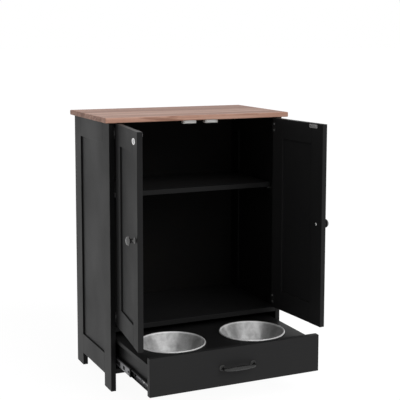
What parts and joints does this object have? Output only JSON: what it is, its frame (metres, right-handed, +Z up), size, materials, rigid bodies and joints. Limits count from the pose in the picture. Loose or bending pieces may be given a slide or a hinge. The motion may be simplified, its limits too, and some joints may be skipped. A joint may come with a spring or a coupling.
{
  "type": "elevated dog feeder with storage",
  "caption": "Raised feeding station for a dog: a framed storage case with inset doors and a shelf above a drawer that holds steel bowls, under a wood top.",
  "frame": {"origin": "on the floor, under the centre of the open feeder: midway across, and midway between the handle of the drawn-out drawer and the back", "axes": "+X to the right as the user faces the doors, +Y from the doors to the back, +Z up"},
  "size_m": [0.6247, 0.622, 0.808],
  "materials": {
    "dark_board": "satin dark grey paint on engineered board",
    "back_board": "matt dark grey fibreboard",
    "walnut_top": "satin walnut grain",
    "bowl_steel": "bright brushed stainless steel",
    "slide_steel": "zinc plated",
    "fitting_steel": "nickel plated",
    "badge_metal": "satin, plain",
    "black_metal": "satin gunmetal",
    "white_plastic": "moulded, matt",
    "glide_plastic": "moulded, matt"
  },
  "bodies": {
    "case": {"back_panel": "back_board", "base_board": "dark_board", "cam_bolts": "fitting_steel", "cam_locks": "fitting_steel", "cupboard_floor": "dark_board", "foot_glides": "glide_plastic", "hinge_leaves": "black_metal", "hinge_pins": "black_metal", "left_back_leg": "dark_board", "left_bottom_rail": "dark_board", "left_front_leg": "dark_board", "left_side_panel": "dark_board", "left_slide_rail": "slide_steel", "left_top_rail": "dark_board", "magnetic_catches": "white_plastic", "right_back_leg": "dark_board", "right_bottom_rail": "dark_board", "right_front_leg": "dark_board", "right_side_panel": "dark_board", "right_slide_rail": "slide_steel", "right_top_rail": "dark_board", "shelf": "dark_board", "shelf_pins": "fitting_steel", "top_board": "walnut_top"},
    "left_door": {"left_door_bottom_rail": "dark_board", "left_door_hinge_leaves": "black_metal", "left_door_panel": "dark_board", "left_door_top_rail": "dark_board", "left_hinge_stile": "dark_board", "left_knob": "black_metal", "left_knob_screw": "fitting_steel", "left_lock_stile": "dark_board", "left_strike_plate": "fitting_steel", "badge_plate": "badge_metal"},
    "right_door": {"right_door_bottom_rail": "dark_board", "right_door_hinge_leaves": "black_metal", "right_door_panel": "dark_board", "right_door_top_rail": "dark_board", "right_hinge_stile": "dark_board", "right_knob": "black_metal", "right_knob_screw": "fitting_steel", "right_lock_stile": "dark_board", "right_strike_plate": "fitting_steel"},
    "drawer": {"drawer_front": "dark_board", "left_drawer_side": "dark_board", "right_drawer_side": "dark_board", "drawer_back": "dark_board", "bowl_board": "dark_board", "drawer_handle": "black_metal", "handle_screws": "fitting_steel", "left_slide_runner": "slide_steel", "right_slide_runner": "slide_steel"},
    "left_slide_stage": {"left_slide_middle": "slide_steel"},
    "right_slide_stage": {"right_slide_middle": "slide_steel"},
    "left_feeding_bowl": {"left_bowl": "bowl_steel"},
    "right_feeding_bowl": {"right_bowl": "bowl_steel"}
  },
  "joints": [
    {"name": "left_door_hinge", "type": "hinge", "parent": "case", "child": "left_door", "pos_m": [-0.264, -0.0174, 0.495], "axis": [0, 0, 1], "range_deg": [-82.8, 97.2]},
    {"name": "right_door_hinge", "type": "hinge", "parent": "case", "child": "right_door", "pos_m": [0.264, -0.0174, 0.495], "axis": [0, 0, -1], "range_deg": [-85.3, 94.7]},
    {"name": "drawer_slide", "type": "slide", "parent": "case", "child": "drawer", "axis": [0, 1, 0], "range_m": [-0.02, 0.266]},
    {"name": "left_slide_stage_slide", "type": "slide", "parent": "case", "child": "left_slide_stage", "axis": [0, 1, 0], "range_m": [-0.01, 0.133]},
    {"name": "right_slide_stage_slide", "type": "slide", "parent": "case", "child": "right_slide_stage", "axis": [0, 1, 0], "range_m": [-0.01, 0.133]},
    {"name": "left_bowl_lift", "type": "slide", "parent": "drawer", "child": "left_feeding_bowl", "axis": [0, 0, 1], "range_m": [0, 0.012]},
    {"name": "right_bowl_lift", "type": "slide", "parent": "drawer", "child": "right_feeding_bowl", "axis": [0, 0, 1], "range_m": [0, 0.012]}
  ],
  "couplings": [
    {"joint": "left_slide_stage_slide", "follows": "drawer_slide", "ratio": 0.5},
    {"joint": "right_slide_stage_slide", "follows": "drawer_slide", "ratio": 0.5}
  ]
}
